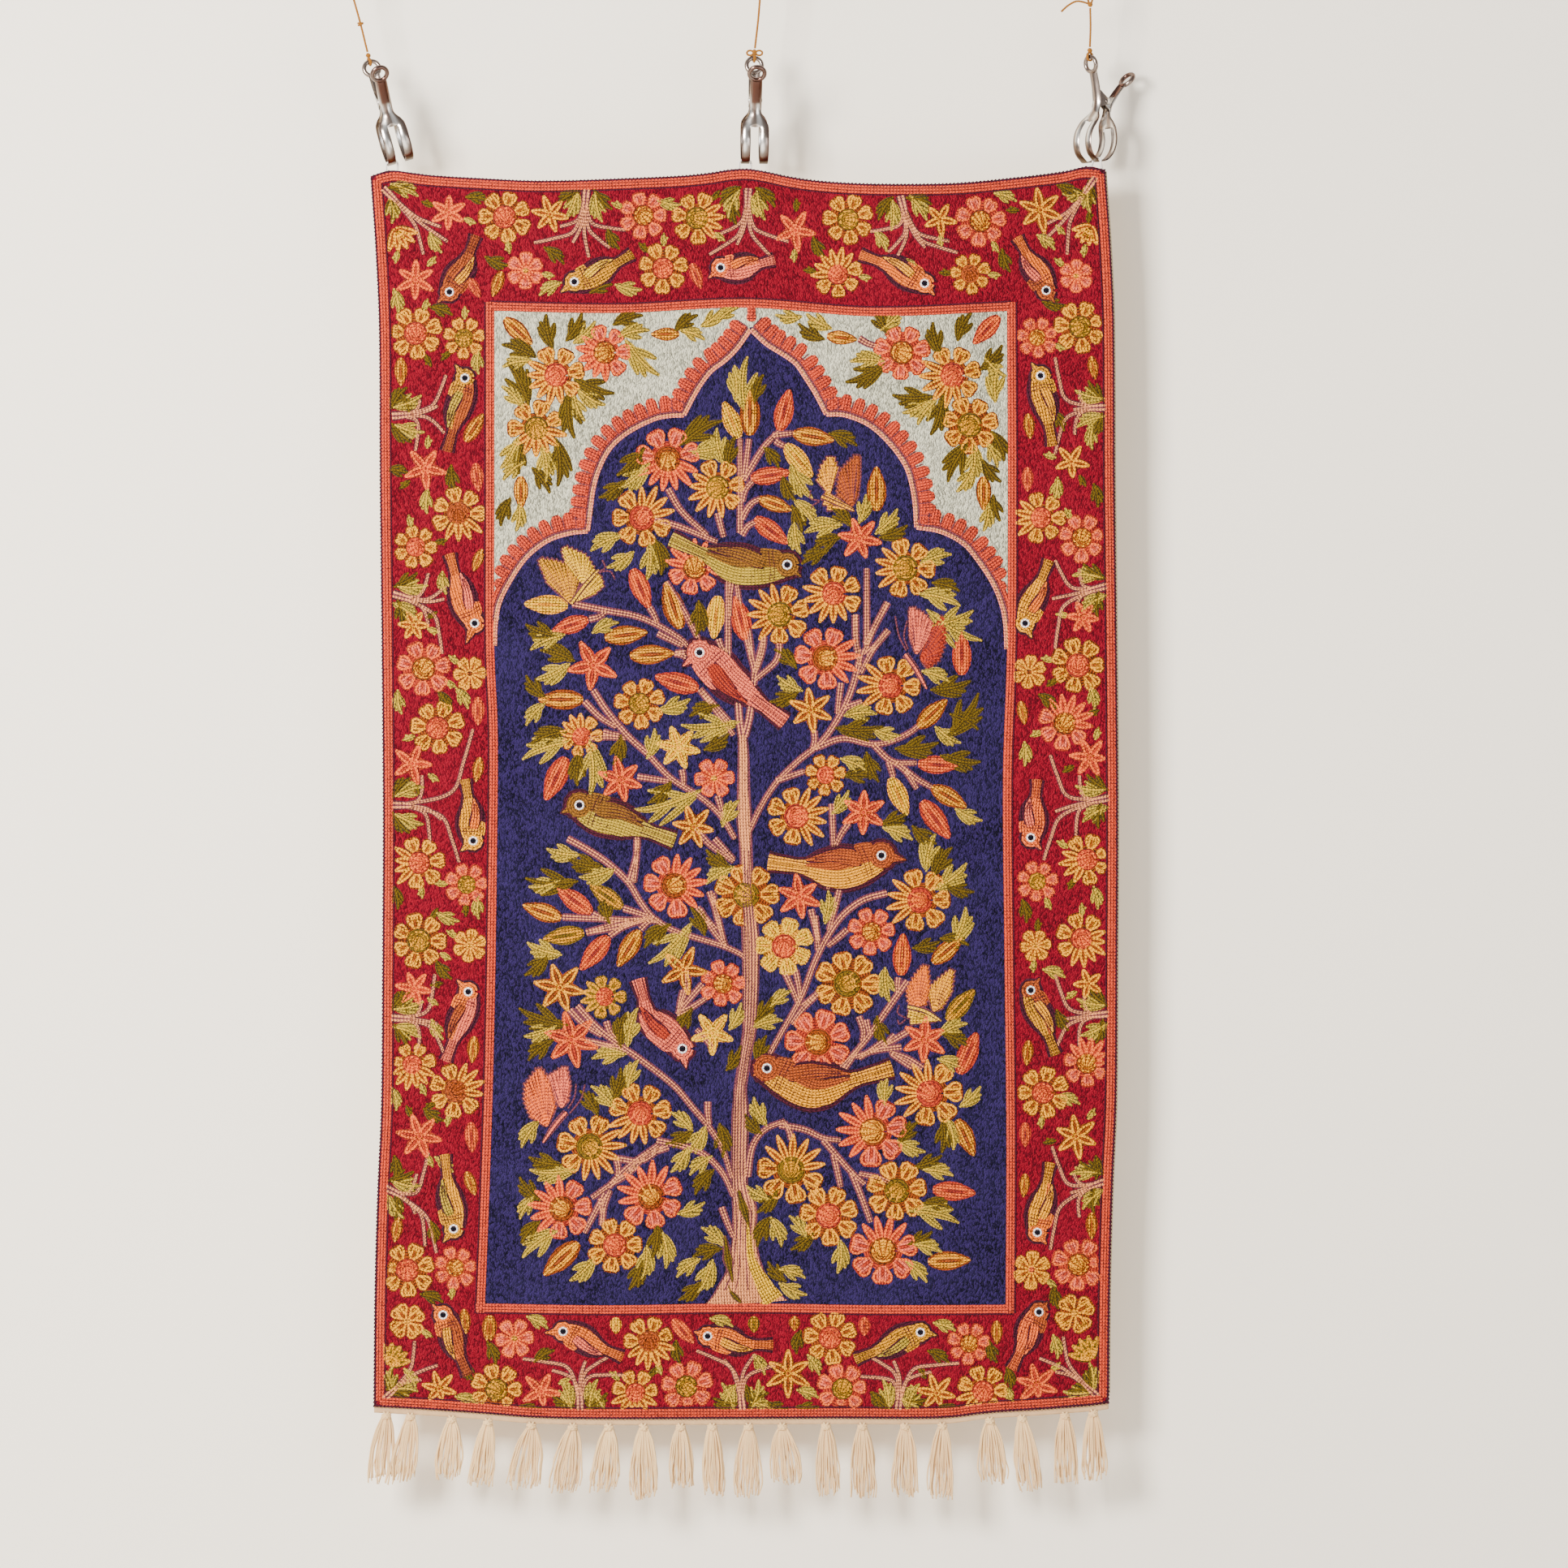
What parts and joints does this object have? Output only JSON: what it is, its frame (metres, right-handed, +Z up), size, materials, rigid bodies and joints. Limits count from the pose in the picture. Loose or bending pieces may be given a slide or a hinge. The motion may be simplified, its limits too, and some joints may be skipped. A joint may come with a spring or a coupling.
{
  "type": "embroidered wall hanging with spring clips and twine",
  "caption": "Chain-stitched wool wall hanging of a flowering tree in a cusped arch, with a knotted fringe, hung from spring clips on twine.",
  "frame": {"origin": "the point where the middle twine's loop bears on its nail", "axes": "+Z up, -Y out of the embroidered face towards the viewer, +X to the viewer's right"},
  "size_m": [0.9788, 0.1254, 1.8921],
  "materials": {
    "wool": "wool chain stitch, matt, in crimson, navy, coral, gold and olive",
    "backing_cotton": "plain natural cotton weave",
    "fringe_cotton": "soft plied natural cotton yarn",
    "steel": "bright plated pressed steel",
    "twine": "hairy three-ply jute twine"
  },
  "bodies": {
    "root": {"panel": "wool", "backing": "backing_cotton", "fringe": "fringe_cotton", "loop_left": "fringe_cotton", "loop_middle": "fringe_cotton", "loop_right": "fringe_cotton", "clip_left_back": "steel", "clip_left_front": "steel", "clip_left_pin": "steel", "clip_left_spring": "steel", "clip_middle_back": "steel", "clip_middle_front": "steel", "clip_middle_pin": "steel", "clip_middle_spring": "steel", "clip_right_back": "steel", "clip_right_front": "steel", "clip_right_pin": "steel", "clip_right_spring": "steel", "tie_left": "twine", "tie_middle": "twine", "tie_right": "twine", "string_left": "twine", "string_knot_left": "twine", "string_middle": "twine", "string_right": "twine", "nail_loop_left": "twine", "nail_loop_middle": "twine", "nail_loop_right": "twine"}
  },
  "joints": []
}
